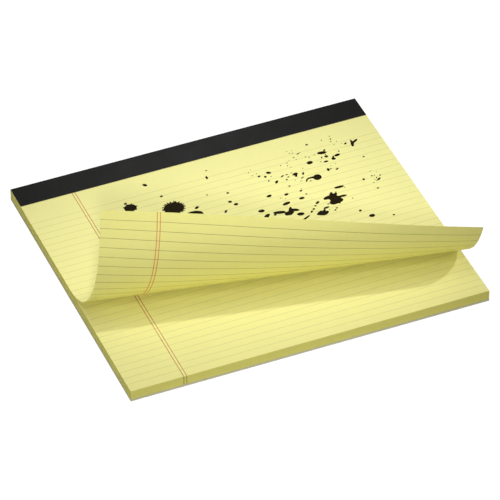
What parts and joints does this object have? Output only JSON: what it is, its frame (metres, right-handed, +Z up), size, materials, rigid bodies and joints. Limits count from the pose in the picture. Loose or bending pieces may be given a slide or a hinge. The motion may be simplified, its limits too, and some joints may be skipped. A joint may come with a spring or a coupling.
{
  "type": "notepad",
  "caption": "Ruled yellow writing pad bound with black tape along one long edge, its first sheet rolled up and back from the free edge and spotted with dried ink.",
  "frame": {"origin": "middle of the pad's rectangular footprint, on the underside of its backing board", "axes": "+X runs along the taped binding from left to right, +Y points to the binding, +Z is up out of the sheets"},
  "size_m": [0.2838, 0.2416, 0.0882],
  "materials": {
    "chipboard": "uncoated grey chipboard",
    "sheets": "uncoated canary yellow writing paper",
    "tape": "black coated paper tape with a faint grain",
    "wire": "bright stitching wire",
    "ink": "dried black ink"
  },
  "bodies": {
    "root": {"backing_board": "chipboard", "page_block": "sheets", "top_sheet": "sheets", "binding_tape": "tape", "staples": "wire", "ink_blots": "ink"}
  },
  "joints": []
}
